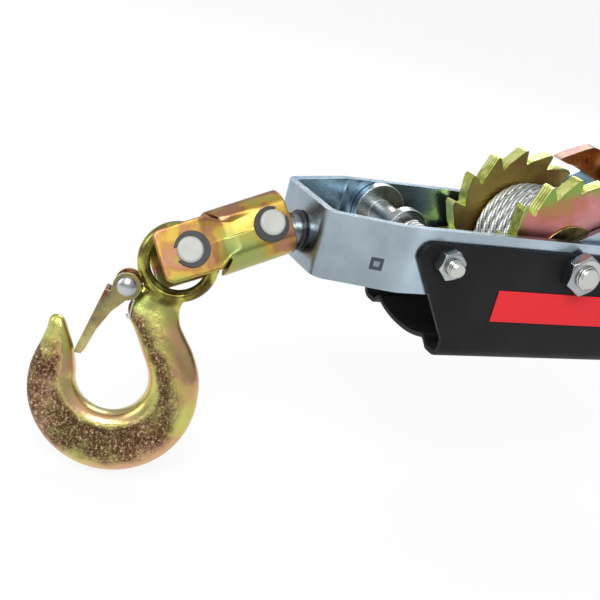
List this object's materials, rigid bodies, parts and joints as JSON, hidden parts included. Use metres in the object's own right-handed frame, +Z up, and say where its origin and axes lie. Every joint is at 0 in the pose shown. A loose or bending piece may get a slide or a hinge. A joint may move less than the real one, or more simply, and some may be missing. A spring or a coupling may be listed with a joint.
{
  "type": "come along winch",
  "caption": "Hand ratchet puller with a swivelling anchor hook, a toothed rope drum between bent strap sides, a black guard, a forked lever and a hook on the rope's end.",
  "frame": {"origin": "the middle of the drum axle, halfway between the two frame sides", "axes": "+X towards the rope's exit, +Y along the axle away from the near side, +Z up, square to the frame's length"},
  "size_m": [0.554, 0.1008, 0.2917],
  "materials": {
    "bright_zinc": "bright blue-white zinc plate",
    "yellow_zinc": "iridescent yellow zinc plate",
    "pink_zinc": "iridescent yellow zinc plate, pink",
    "forged_yellow": "rough forging with yellow zinc plate",
    "black_paint": "satin black powder coat",
    "label_red": "plain red film",
    "rubber_black": "matt moulded rubber",
    "rope_steel": "galvanised steel strands",
    "pin_white": "satin white zinc",
    "clip_black": "black oxide"
  },
  "bodies": {
    "frame": {"frame_strap": "bright_zinc", "guard_channel": "black_paint", "label_plate": "label_red", "front_bolt": "bright_zinc", "front_nut": "bright_zinc", "tie_spool": "bright_zinc", "tie_spring": "rope_steel", "axle_bolt": "bright_zinc", "axle_nut": "bright_zinc", "rear_bolt": "bright_zinc", "rear_nut": "bright_zinc", "rear_spacers": "bright_zinc", "holding_pawl_spring": "rope_steel", "rope_free": "rope_steel", "rope_ferrule": "bright_zinc", "rope_thimble": "bright_zinc", "rope_eye": "rope_steel"},
    "swivel": {"swivel_stud": "bright_zinc", "stud_nut": "bright_zinc", "nose_washer": "clip_black"},
    "clevis": {"clevis_yoke": "yellow_zinc", "clevis_pins": "pin_white", "retaining_clips": "clip_black"},
    "anchor_hook": {"anchor_hook": "forged_yellow", "anchor_latch_rivet": "bright_zinc", "anchor_latch_spring": "rope_steel"},
    "anchor_latch": {"anchor_latch": "yellow_zinc"},
    "drum": {"ratchet_wheel_near": "pink_zinc", "ratchet_wheel_far": "yellow_zinc", "drum_hub": "yellow_zinc", "thrust_washers": "yellow_zinc", "rope_core": "rope_steel", "rope_winding": "rope_steel"},
    "lever": {"lever_fork": "bright_zinc", "lever_tube": "bright_zinc", "lever_grip": "rubber_black", "pawl_pin": "bright_zinc", "pawl_clip": "clip_black", "drive_pawl_spring": "rope_steel"},
    "drive_pawl": {"drive_pawl": "yellow_zinc"},
    "holding_pawl": {"holding_pawl": "yellow_zinc"},
    "load_hook": {"load_hook": "forged_yellow", "load_latch_rivet": "bright_zinc", "load_latch_spring": "rope_steel"},
    "load_latch": {"load_latch": "yellow_zinc"}
  },
  "joints": [
    {"name": "swivel_turn", "type": "hinge", "parent": "frame", "child": "swivel", "pos_m": [-0.14, 0, -0.0043], "axis": [1, 0, 0], "continuous": true},
    {"name": "clevis_tilt", "type": "hinge", "parent": "swivel", "child": "clevis", "pos_m": [-0.1565, 0, -0.0043], "axis": [0.2122, 0.848, -0.4856], "range_deg": [0, 40]},
    {"name": "anchor_hook_swing", "type": "hinge", "parent": "clevis", "child": "anchor_hook", "pos_m": [-0.19297, 0, -0.02023], "axis": [0.2122, 0.848, -0.4856], "range_deg": [-28, 60]},
    {"name": "anchor_latch_open", "type": "hinge", "parent": "anchor_hook", "child": "anchor_latch", "pos_m": [-0.2146, 0.00521, -0.03885], "axis": [-0.4006, -0.8997, 0.1736], "range_deg": [0, 28], "stiffness_Nm_per_rad": 0.02, "springref_deg": -17.19},
    {"name": "drum_spin", "type": "hinge", "parent": "frame", "child": "drum", "pos_m": [0, 0, 0], "axis": [0, 1, 0], "continuous": true},
    {"name": "lever_swing", "type": "hinge", "parent": "frame", "child": "lever", "pos_m": [0, 0, 0], "axis": [0, -1, 0], "range_deg": [0, 90]},
    {"name": "drive_pawl_swing", "type": "hinge", "parent": "lever", "child": "drive_pawl", "pos_m": [0.05797, 0, 0.03807], "axis": [0, 1, 0], "range_deg": [-7, 25], "stiffness_Nm_per_rad": 0.2},
    {"name": "holding_pawl_swing", "type": "hinge", "parent": "frame", "child": "holding_pawl", "pos_m": [0.056, 0, -0.009], "axis": [0, 1, 0], "range_deg": [-12.5, 12], "stiffness_Nm_per_rad": 0.2},
    {"name": "load_hook_swing", "type": "hinge", "parent": "frame", "child": "load_hook", "pos_m": [0.146, 0, 0.0205], "axis": [0, 1, 0], "range_deg": [-90, 20]},
    {"name": "load_latch_open", "type": "hinge", "parent": "load_hook", "child": "load_latch", "pos_m": [0.146, -0.02, -0.0155], "axis": [1, 0, 0], "range_deg": [0, 28], "stiffness_Nm_per_rad": 0.02, "springref_deg": -17.19}
  ]
}
